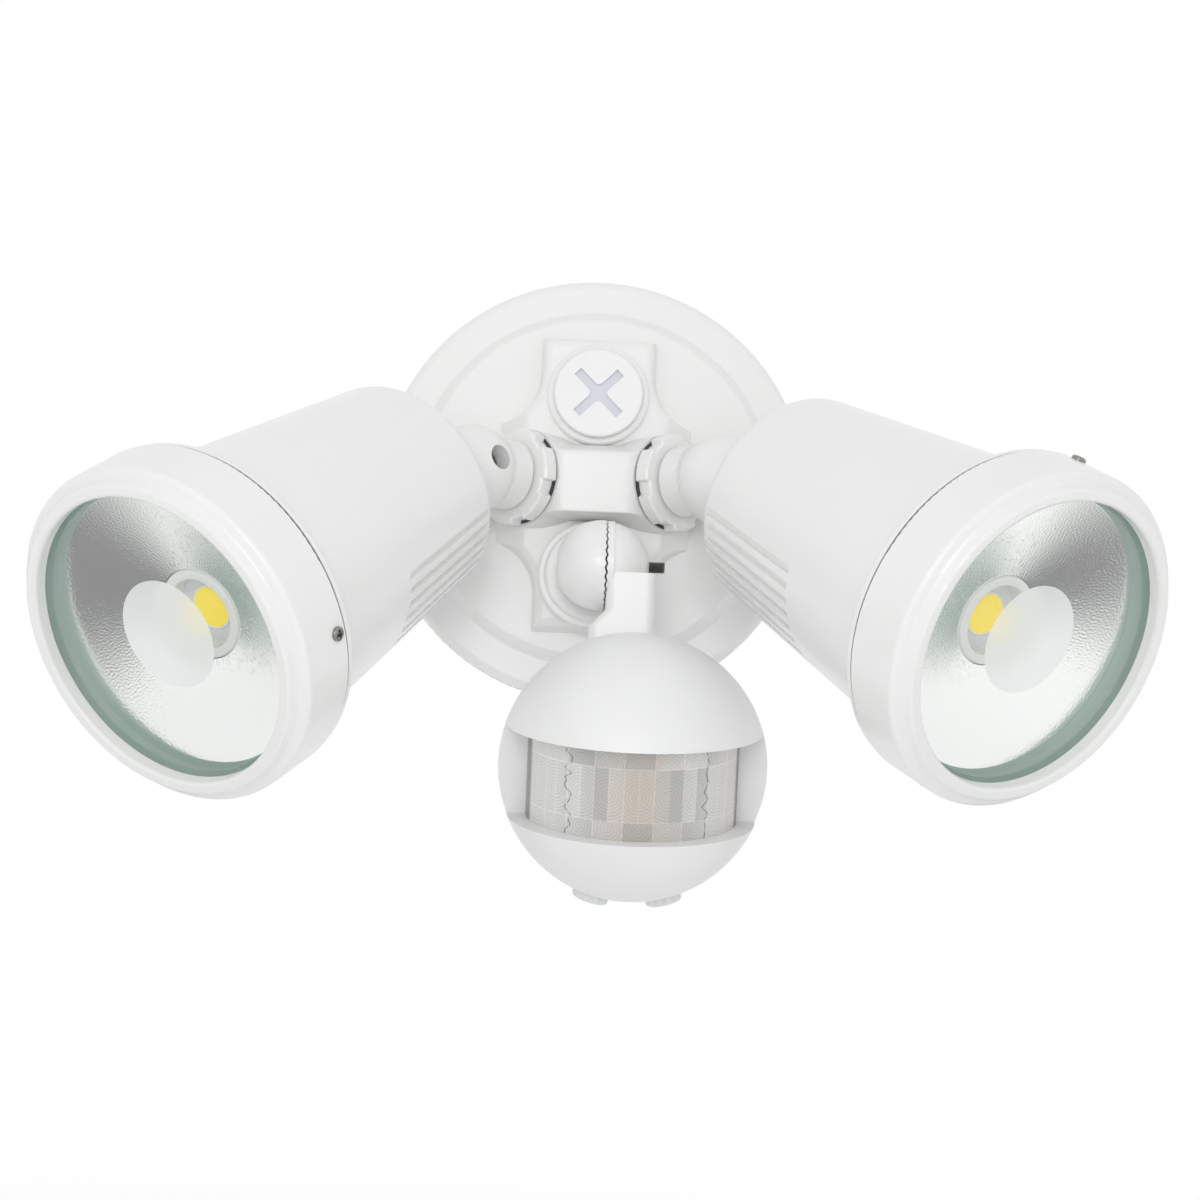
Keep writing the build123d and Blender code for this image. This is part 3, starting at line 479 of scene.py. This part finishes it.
def sample(field, spacing, x, y):
    """Value of a repeating square of points at places between them, joined straight."""
    size = len(field)
    u, v = x / spacing, y / spacing
    i, j = np.floor(u).astype(int), np.floor(v).astype(int)
    s, t = u - i, v - j
    near = field[i % size, j % size] * (1 - t) + field[i % size, (j + 1) % size] * t
    far = field[(i + 1) % size, j % size] * (1 - t) + field[(i + 1) % size, (j + 1) % size] * t
    return near * (1 - s) + far * s


def node_points(name):
    """Corner points of a CAD node, one row each."""
    mesh = nodes[name].data
    flat = np.empty(3 * len(mesh.vertices))
    mesh.vertices.foreach_get("co", flat)
    return flat.reshape(-1, 3)


# -------------------------------------------------------------- lamp heads
# Millimetres out from the beam's axis, and along it from the lip of the front ring
GLASS_MIDDLE = 6.55
GLASS_FRONT, GLASS_BACK, GLASS_RADIUS, GLASS_EDGE = 4.5, 8.6, 49.6, 0.5
FROST_RADIUS = 17.6
FACE_MARGIN = 0.1                               # faces this near the back count as on it
CONE_RIM, CONE_FOOT = (45.8, -14.4), (15.0, -24.0)
CONE_BACK = ((15.0, -24.8), (30.0, -19.9), (45.4, -15.2), (49.6, -15.2), (49.6, -14.4),
             (45.9, -14.4))
HAMMER_TURNS, HAMMER_ROWS, SMOOTH_ROWS = 900, 96, 2
HAMMER_DEPTH = 0.017
HAMMER_LONGEST, HAMMER_SHORTEST = 1.5, 0.6      # its waves
HAMMER_SEEDS = {"left": 11, "right": 12}
GRAIN_POINTS, GRAIN_SPACING = 512, 0.2
DAM_RADIUS, DAM_FOOT = 6.95, -29.9
DAM_HALF_WIDTH, DAM_RISE, DAM_POINTS = 0.5, 0.75, 10
GASKET_INSIDE, GASKET_OUTSIDE = 51.3, 54.2
GASKET_FRONT, GASKET_BACK = -23.72, -24.58
GASKET_CORNER = (0.3, 0.28)
RING_SCREW_SEAT = 55.0

# Millimetres of a ring screw
SHANK_RADIUS, SHANK_LENGTH = 1.25, 3.6
PAN_RADIUS, PAN_RIM, PAN_EDGE, PAN_CROWN = 2.3, 0.5, 0.05, 0.8
PAN_FULLNESS = 0.75                             # power of the cosine; 1 is a half ellipse
PAN_TURNS, PAN_ROWS = 96, 17
SLOT_HALF_WIDTH, SLOT_HALF_LENGTH, SLOT_DEPTH = 0.42, 1.45, 0.85
SLOT_WALL, SLOT_RUN_OUT = 0.12, 0.35


def lamp_turning(side):
    """Beam axis of a lamp with its origin at the lip: the thinnest way through its pane."""
    pane = node_points(f"{side}_lens_glass")
    middle = (pane.min(0) + pane.max(0)) / 2
    ways = np.linalg.svd(pane - middle, full_matrices=False)[2]
    beam = ways[2] if ways[2][1] < 0 else -ways[2]
    offset = (pane - middle) @ beam
    middle = middle + beam * (offset.min() + offset.max()) / 2
    bolt = np.array(joints[f"{side}_tilt"]["axis"], float)
    return Turning(middle + beam * GLASS_MIDDLE * MM, beam, bolt)


def pane(side, turning):
    """Clear pane with a ground edge; its back is frosted inside a circle at the centre."""
    profile = [(0, -GLASS_FRONT), (GLASS_RADIUS - GLASS_EDGE, -GLASS_FRONT),
               (GLASS_RADIUS, -GLASS_FRONT - GLASS_EDGE),
               (GLASS_RADIUS, -GLASS_BACK + GLASS_EDGE),
               (GLASS_RADIUS - GLASS_EDGE, -GLASS_BACK), (FROST_RADIUS, -GLASS_BACK),
               (0, -GLASS_BACK)]
    piece = turned_piece(f"{side}_pane", turning, profile, f"{side}_lamp",
                         [finishes["clear_glass"], FROSTED_GLASS, GROUND_EDGE], turns=128)
    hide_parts(f"{side}_lens_glass")
    centres = np.empty(3 * len(piece.data.polygons))
    piece.data.polygons.foreach_get("center", centres)
    from_lip = centres.reshape(-1, 3) - turning.origin
    depth = -(from_lip @ turning.along)
    radius = np.linalg.norm(from_lip + depth[:, None] * turning.along, axis=1)
    frosted = (depth > (GLASS_BACK - FACE_MARGIN) * MM) & (radius < FROST_RADIUS * MM)
    ground = radius > (GLASS_RADIUS - GLASS_EDGE) * MM
    piece.data.polygons.foreach_set("material_index", (frosted + 2 * ground).astype(np.int32))


def hammered_reflector(side, turning):
    """Cone whose front is hammered, all but its first rows at the rim and its foot: relief
    from noise in the plane across the beam."""
    profile = np.concatenate([np.linspace(CONE_RIM, CONE_FOOT, HAMMER_ROWS), CONE_BACK])
    radius, height = profile[None, :, 0], profile[None, :, 1]
    angle = around(HAMMER_TURNS)
    grain = smooth_noise(GRAIN_POINTS, GRAIN_SPACING, HAMMER_LONGEST, HAMMER_SHORTEST,
                         HAMMER_SEEDS[side])
    relief = sample(grain, GRAIN_SPACING, radius * np.cos(angle), radius * np.sin(angle))
    hammered = np.zeros(len(profile))
    hammered[SMOOTH_ROWS:HAMMER_ROWS - 1] = 1
    points = turning.points(radius * MM, (height + HAMMER_DEPTH * relief * hammered) * MM, angle)
    piece = grid_piece(f"{side}_hammered_reflector", points, f"{side}_lamp",
                       [finishes["bright_aluminium"]], crease=50)
    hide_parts(f"{side}_reflector")


def light_dam(side, turning):
    """White silicone ring round the phosphor, a bead on the carrier: half an ellipse."""
    profile = [(DAM_RADIUS + DAM_HALF_WIDTH * cos(a), DAM_FOOT + DAM_RISE * sin(a))
               for a in np.linspace(0, pi, DAM_POINTS)]
    turned_piece(f"{side}_light_dam", turning, profile, f"{side}_lamp",
                 [finishes["trim_plastic"]])


def joint_gasket(side, turning):
    """Rubber ring in the gap behind the front ring, its two outer corners cut off."""
    out, along = GASKET_CORNER
    profile = [(GASKET_INSIDE, GASKET_FRONT), (GASKET_OUTSIDE - out, GASKET_FRONT),
               (GASKET_OUTSIDE, GASKET_FRONT - along), (GASKET_OUTSIDE, GASKET_BACK + along),
               (GASKET_OUTSIDE - out, GASKET_BACK), (GASKET_INSIDE, GASKET_BACK)]
    turned_piece(f"{side}_joint_gasket", turning, profile, f"{side}_lamp",
                 [finishes["rubber"]], turns=160)


def cross_screw(name, turning, body):
    """Pan-head screw: turned profile, its crown cut by two crossed slots that get shallower
    towards their ends."""
    below = np.array([(0, -SHANK_LENGTH), (SHANK_RADIUS, -SHANK_LENGTH), (SHANK_RADIUS, 0),
                      (PAN_RADIUS, 0), (PAN_RADIUS, PAN_RIM - PAN_EDGE)])
    rise = np.linspace(0, 1, PAN_ROWS, endpoint=False) * pi / 2
    crown = np.stack([PAN_RADIUS * np.cos(rise) ** PAN_FULLNESS,
                      PAN_RIM + PAN_CROWN * np.sin(rise)], 1)
    profile = np.concatenate([below, crown, [(0, PAN_RIM + PAN_CROWN)]])
    radius, height = profile.T
    angle = around(PAN_TURNS)
    x, y = np.abs(radius * np.cos(angle)), np.abs(radius * np.sin(angle))
    cut = (slope(np.minimum(x, y), SLOT_HALF_WIDTH, SLOT_HALF_WIDTH - SLOT_WALL)
           * slope(np.maximum(x, y), SLOT_HALF_LENGTH, SLOT_HALF_LENGTH - SLOT_RUN_OUT))
    on_crown = np.arange(len(profile)) >= len(below)
    points = turning.points(radius * MM, (height - SLOT_DEPTH * cut * on_crown) * MM, angle)
    return grid_piece(name, points, body, [SCREW_STEEL], crease=30)


def ring_screws(side, turning):
    """The two screws of a front ring, each at the middle of its CAD screw, pointing out."""
    from_lip = node_points(f"{side}_ring_screws") - turning.origin
    spoke = from_lip - (from_lip @ turning.along)[:, None] * turning.along
    first = spoke @ spoke[0] > 0
    for number, group in ((1, first), (2, ~first)):
        out = spoke[group].mean(0)
        out /= np.linalg.norm(out)
        along = from_lip[group] @ turning.along
        seat = (turning.origin + turning.along * (along.min() + along.max()) / 2
                + out * RING_SCREW_SEAT * MM)
        piece = cross_screw(f"{side}_ring_screw_{number}", Turning(seat, out, turning.along),
                            f"{side}_lamp")
        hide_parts(f"{side}_ring_screws")


for side in ("left", "right"):
    lamp = lamp_turning(side)
    pane(side, lamp)
    hammered_reflector(side, lamp)
    light_dam(side, lamp)
    joint_gasket(side, lamp)
    ring_screws(side, lamp)

# ---------------------------------------------------------------- cast web
# Millimetres
WEB_BOTTOM, WEB_TOP = -14.0, 12.6                # its ends, up the plate
WEB_FACE, WEB_BASE = 32.4, 17.0                  # out from the wall
WEB_TOP_EDGE, WEB_TOP_SLOPE = 21.0, 2.7          # out from the wall at its end, and per mm
WEB_BOTTOM_EDGE, WEB_BOTTOM_SLOPE = 19.0, 12.0
WEB_SHARPNESS, WEB_THINNEST = 1.4, 0.05
WEB_ROWS, WEB_COLUMNS = 121, 90
BOSS_END = 45.1                                  # out plus across, where the bosses end
BOSS_OFFSET = 4.3                                # their axes start this far to each side
BOSS_CORE = 16.0                                 # radius in a boss's wall; the web starts there


def boss_web():
    """Casting between the lamps' bosses: its height over the plate is the soft minimum of
    a flat face, the planes of the two boss ends and a slope at the top and the bottom.
    Its back is flat at the middle and then follows the bosses, which stand at 45 degrees:
    across - offset + chord."""
    rise = np.linspace(WEB_BOTTOM, WEB_TOP, WEB_COLUMNS)[None]
    chord = np.sqrt(2 * (BOSS_CORE ** 2 - rise ** 2))
    share = np.linspace(-1, 1, WEB_ROWS)[:, None]
    across = share * (BOSS_END + BOSS_OFFSET - chord) / 2
    limits = np.stack(np.broadcast_arrays(
        WEB_FACE, BOSS_END - np.abs(across), WEB_TOP_EDGE + WEB_TOP_SLOPE * (WEB_TOP - rise),
        WEB_BOTTOM_EDGE + WEB_BOTTOM_SLOPE * (rise - WEB_BOTTOM)))
    height = -np.log(np.exp(-WEB_SHARPNESS * limits).sum(0)) / WEB_SHARPNESS
    back_height = np.minimum(np.maximum(WEB_BASE, np.abs(across) - BOSS_OFFSET + chord),
                             height - WEB_THINNEST)
    rise = np.broadcast_to(rise, across.shape)
    front = np.stack([across, -height, rise], -1)
    back = np.stack([across, -back_height, rise], -1)[:, ::-1]
    grid_piece("boss_web", np.concatenate([front, back], 1) * MM, "wall_base",
               [finishes["white_coat"]], closed=False, crease=50)


boss_web()

# ------------------------------------------------------------- clamp bolts
# Millimetres out from the bolt's axis, and along it
THREAD_PITCH, THREAD_DEPTH, THREAD_CREST = 0.7, 0.36, 2.0
STEPS_PER_PITCH, BOLT_TURNS = 6, 24
TIP_CHAMFER, TIP_LEAD, HEAD_LEAD = 0.35, 0.4, 0.3
HEAD_RADIUS, HEAD_CHAMFER, SEAT_CHAMFER = 3.8, 0.4, 0.2
SOCKET_RADIUS, SOCKET_CHAMFER, SOCKET_DEPTH, SOCKET_TIP = 1.6, 0.15, 2.0, 2.4
SOCKET_CORNER = 1.1          # hexagon's size over its drawn radius
WIDER_THAN_THREAD = 3.0
SLANTING = (0.3, 0.2, 0.9)   # a way that no bolt points; the hexagon and thread start from it


def bolt_ends(cloud, origin, axis):
    """Axis turned so that it points to the head, with the heights of seat, top and tip."""
    height = (cloud - origin) @ axis
    radius = np.linalg.norm(cloud - origin - height[:, None] * axis, axis=1)
    head = height[radius > WIDER_THAN_THREAD * MM]
    if head.mean() < height.mean():
        axis, height, head = -axis, -height, -head
    return axis, head.min() / MM, head.max() / MM, height.min() / MM


def clamp_screw(name, body, joint):
    """M4 socket screw: crest less depth times the distance from the helix, in pitches."""
    origin = np.array(joints[joint]["pos_m"])
    axis, seat, top, tip = bolt_ends(node_points(name), origin,
                                     np.array(joints[joint]["axis"], float))
    steps = np.arange(tip + TIP_LEAD, seat - HEAD_LEAD, THREAD_PITCH / STEPS_PER_PITCH)
    shank = [(THREAD_CREST, step) for step in steps]
    ends = [(0, tip), (THREAD_CREST - TIP_CHAMFER, tip)]
    head = [(THREAD_CREST, seat), (HEAD_RADIUS - SEAT_CHAMFER, seat),
            (HEAD_RADIUS, seat + SEAT_CHAMFER), (HEAD_RADIUS, top - HEAD_CHAMFER),
            (HEAD_RADIUS - HEAD_CHAMFER, top), (SOCKET_RADIUS + SOCKET_CHAMFER, top)]
    socket = [(SOCKET_RADIUS, top - SOCKET_CHAMFER), (SOCKET_RADIUS, top - SOCKET_DEPTH)]
    profile = np.array(ends + shank + head + socket + [(0, top - SOCKET_TIP)])
    angle = around(BOLT_TURNS)
    turn = profile[None, :, 1] / THREAD_PITCH - angle / (2 * pi)
    groove = THREAD_DEPTH * np.abs(2 * (turn - np.floor(turn)) - 1)
    threaded, hexagonal = np.zeros((2, len(profile)))
    threaded[len(ends):len(ends) + len(shank)] = 1
    hexagonal[-1 - len(socket):-1] = 1
    hexagon = SOCKET_CORNER * np.cos(pi / 6) / np.cos((angle + pi / 6) % (pi / 3) - pi / 6)
    radius = (profile[None, :, 0] - groove * threaded) * (1 + (hexagon - 1) * hexagonal)
    turning = Turning(origin, axis, np.cross(axis, SLANTING))
    points = turning.points(radius * MM, profile[None, :, 1] * MM, angle)
    piece = grid_piece(name + "_threaded", points, body, [DARK_STEEL], crease=30)
    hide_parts(name)


for side in ("left", "right"):
    clamp_screw(f"{side}_clamp_bolt", f"{side}_lamp", f"{side}_tilt")
clamp_screw("sensor_clamp_bolt", "sensor_head", "sensor_tilt")

# ------------------------------------------------------------- motion lens
# Millimetres, along the ball's own axis and out from it
BALL_RADIUS = 44.0
LENS_RADIUS, LENS_WALL = 34.5, 1.3
LENS_ARC = pi / 180 * LENS_RADIUS                # millimetres in a degree
LENS_COLUMNS, LENS_ROWS = 541, 165
WINDOW_BOTTOM, WINDOW_TOP = -16.8, 13.3
LOW_SPLIT, HIGH_SPLIT = -10.8, 6.4               # between the three rows of facets
RING_CENTRES = (LOW_SPLIT - 2.4, -2.6, HIGH_SPLIT + 0.6)
FACET_STEP, FACET_EDGE = 8.1, 1.8                # degrees: middle row's pitch, and one edge
MOST_FACETS = 40                                 # room for a row, numbered from its middle
ARC_PITCH, ARC_DEPTH = 1.05, 0.09
SEAM_HALF_WIDTH = 0.3
FACET_SEED, WOBBLE_SEED = 5, 6

# Colours, shares by which they change, and the degrees where a change starts and ends
GREY, BEIGE, PALE = (0.42, 0.415, 0.405), (0.57, 0.50, 0.43), (0.72, 0.72, 0.70)
BEIGE_MIDDLE, BEIGE_SPREAD = 2.0, 16.0           # degrees
RIGHT_BEIGE, RIGHT_START, RIGHT_END = 0.4, 35.0, 85.0
SIDE_PAINTED_LIGHT, PALE_START, PALE_END = 0.9, 22.0, 57.0
# Painted shade at the lens's side edges and in its ring grooves, and a painted highlight on its seams
SIDE_SHADE, SHADE_START, SHADE_END = 0.68, 72.0, 76.0
RING_SHADE, RING_SHARE, RING_FROM_SEAM = 0.17, 0.3, 0.2   # the last in millimetres
SEAM_LIGHT, SEAM_LIGHT_WIDTH = 0.12, 0.11                 # the last in millimetres
LEAST_BEIGE = 0.25                               # of a facet without luck, at the middle
# Painted dark wavy lines, where ribs inside show through the lens as shade
WAVY_LINES = (-38.0, 41.5)                       # degrees
WOBBLE_POINTS, WOBBLE_SPACING = 256, 0.2
WOBBLE_LONGEST, WOBBLE_SHORTEST = 16.0, 2.6
LINE_WOBBLE, LINE_SHADE = 1.3, 0.85
LINE_HALF_WIDTH = 0.42                           # millimetres
LINE_STRENGTH, STRENGTH_CHANGE, CHANGE_RATE = 0.75, 0.45, 1.7
PATH_START, STRENGTH_START = 40.0, 90.0          # millimetres along the noise
PATH_LANE, STRENGTH_LANE = 7.0, 3.0              # millimetres across it


def ball_turning():
    """Ball's own axis, from its two adjusters: they leave its centre, one each way."""
    first, second = joints["time_knob_turn"], joints["lux_knob_turn"]
    centres = [np.array(knob["pos_m"]) - np.array(knob["axis"], float) * BALL_RADIUS * MM
               for knob in (first, second)]
    up = -(np.array(first["axis"], float) + np.array(second["axis"], float))
    return Turning((centres[0] + centres[1]) / 2, up, np.cross((1.0, 0, 0), up))


class Facets:
    """Where each point of the lens lies on its facet: the row from below, the number in the
    row, the way across one ring groove (0 to 1) and the distance from the nearest seam."""

    def __init__(self, azimuth, height):
        middle = (height > LOW_SPLIT) & (height < HIGH_SPLIT)
        step = np.where(middle, FACET_STEP, 2 * FACET_STEP)
        first = np.where(middle, FACET_EDGE, FACET_EDGE + FACET_STEP)
        steps = (azimuth - first) / step
        self.row = np.where(middle, 1, np.where(height >= HIGH_SPLIT, 2, 0))
        self.number = np.floor(steps)
        pair = np.round((azimuth - FACET_EDGE) / (2 * FACET_STEP)) * 2 * FACET_STEP + FACET_EDGE
        centre = np.where(middle, pair, first + (self.number + 0.5) * step)
        distance = np.hypot((azimuth - centre) * LENS_ARC,
                            height - np.array(RING_CENTRES)[self.row])
        self.groove = distance / ARC_PITCH - np.floor(distance / ARC_PITCH)
        from_edge = np.abs(steps - np.round(steps)) * step * LENS_ARC
        from_split = np.minimum(np.abs(height - LOW_SPLIT), np.abs(height - HIGH_SPLIT))
        self.seam = np.minimum(from_edge, from_split)


def line_shades(azimuth, height):
    """Painted shade of each fine wavy line, dark lines that stand for ribs inside seen through the lens; its path
    and strength follow smooth noise.
    """
    wobble = smooth_noise(WOBBLE_POINTS, WOBBLE_SPACING, WOBBLE_LONGEST, WOBBLE_SHORTEST,
                          WOBBLE_SEED)

    def noise(along, lane):
        """Wobble at places along one lane of it."""
        return sample(wobble, WOBBLE_SPACING, along, np.full_like(height, lane))

    for number, line in enumerate(WAVY_LINES):
        path = line + LINE_WOBBLE * noise(height + PATH_START, PATH_LANE * number)
        change = noise(height * CHANGE_RATE + STRENGTH_START, STRENGTH_LANE + number)
        strength = np.clip(LINE_STRENGTH + STRENGTH_CHANGE * change, 0, 1)
        yield LINE_SHADE * strength * slope(np.abs(azimuth - path) * LENS_ARC,
                                            LINE_HALF_WIDTH, 0.0)


def lens_tint_and_shade(azimuth, height, facets):
    """Grey to pale facets by chance, beige near the middle and at the right; painted light makes
    them paler towards the sides, painted shade darkens the ring grooves and the side edges, and
    a painted highlight lightens the seams."""
    chance = np.random.default_rng(FACET_SEED).uniform(0, 1, (3, MOST_FACETS))
    luck = chance[facets.row, (facets.number + MOST_FACETS / 2).astype(int)]
    side = np.abs(azimuth)
    # Facets grow paler towards the sides: painted light, on top of their random tone
    pale = np.clip(luck + SIDE_PAINTED_LIGHT * slope(side, PALE_START, PALE_END), 0, 1)[..., None]
    beige = (np.exp(-((azimuth - BEIGE_MIDDLE) / BEIGE_SPREAD) ** 2)
             * (LEAST_BEIGE + (1 - LEAST_BEIGE) * luck)
             + RIGHT_BEIGE * slope(azimuth, RIGHT_START, RIGHT_END))
    beige = np.clip(beige, 0, 1)[..., None]
    tint = np.array(GREY) * (1 - pale) + np.array(PALE) * pale
    tint = tint * (1 - beige) + np.array(BEIGE) * beige
    # Painted shade in the ring grooves and at the side edges, a painted highlight on the seams, and painted dark
    # wavy lines
    shades = [RING_SHADE * (facets.groove < RING_SHARE) * (facets.seam > RING_FROM_SEAM),
              -SEAM_LIGHT * (facets.seam < SEAM_LIGHT_WIDTH),
              SIDE_SHADE * slope(side, SHADE_START, SHADE_END),
              *line_shades(azimuth, height)]
    for shade in shades:
        tint = tint * (1 - shade)[..., None]
    return tint


def motion_lens():
    """Half-round lens: a cylinder whose outside has sawtooth rings about each facet's centre,
    cut into it, which run out into a fine ridge along every facet's edge."""
    azimuth = np.linspace(-90, 90, LENS_COLUMNS)[:, None]
    height = np.linspace(WINDOW_BOTTOM, WINDOW_TOP, LENS_ROWS)[None]
    facets = Facets(azimuth, height)
    relief = ARC_DEPTH * (facets.groove - 1) * slope(facets.seam, 0, SEAM_HALF_WIDTH)
    back = np.array([WINDOW_TOP, 0.0, WINDOW_BOTTOM])[None]
    radius = np.concatenate([LENS_RADIUS + relief,
                             np.full((LENS_COLUMNS, back.size), LENS_RADIUS - LENS_WALL)], 1)
    heights = np.repeat(np.concatenate([height, back], 1), LENS_COLUMNS, 0)
    points = ball_turning().points(radius * MM, heights * MM, radians(1) * azimuth)
    colours = np.ones((*heights.shape, 4))
    colours[:, :LENS_ROWS, :3] = lens_tint_and_shade(azimuth, height, facets)
    colours[:, LENS_ROWS:, :3] = GREY
    piece = grid_piece("motion_lens", points, "sensor_head",
                       [finishes["lens_plastic"]], tint=colours, closed=False, crease=60)
    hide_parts("fresnel_lens")


motion_lens()
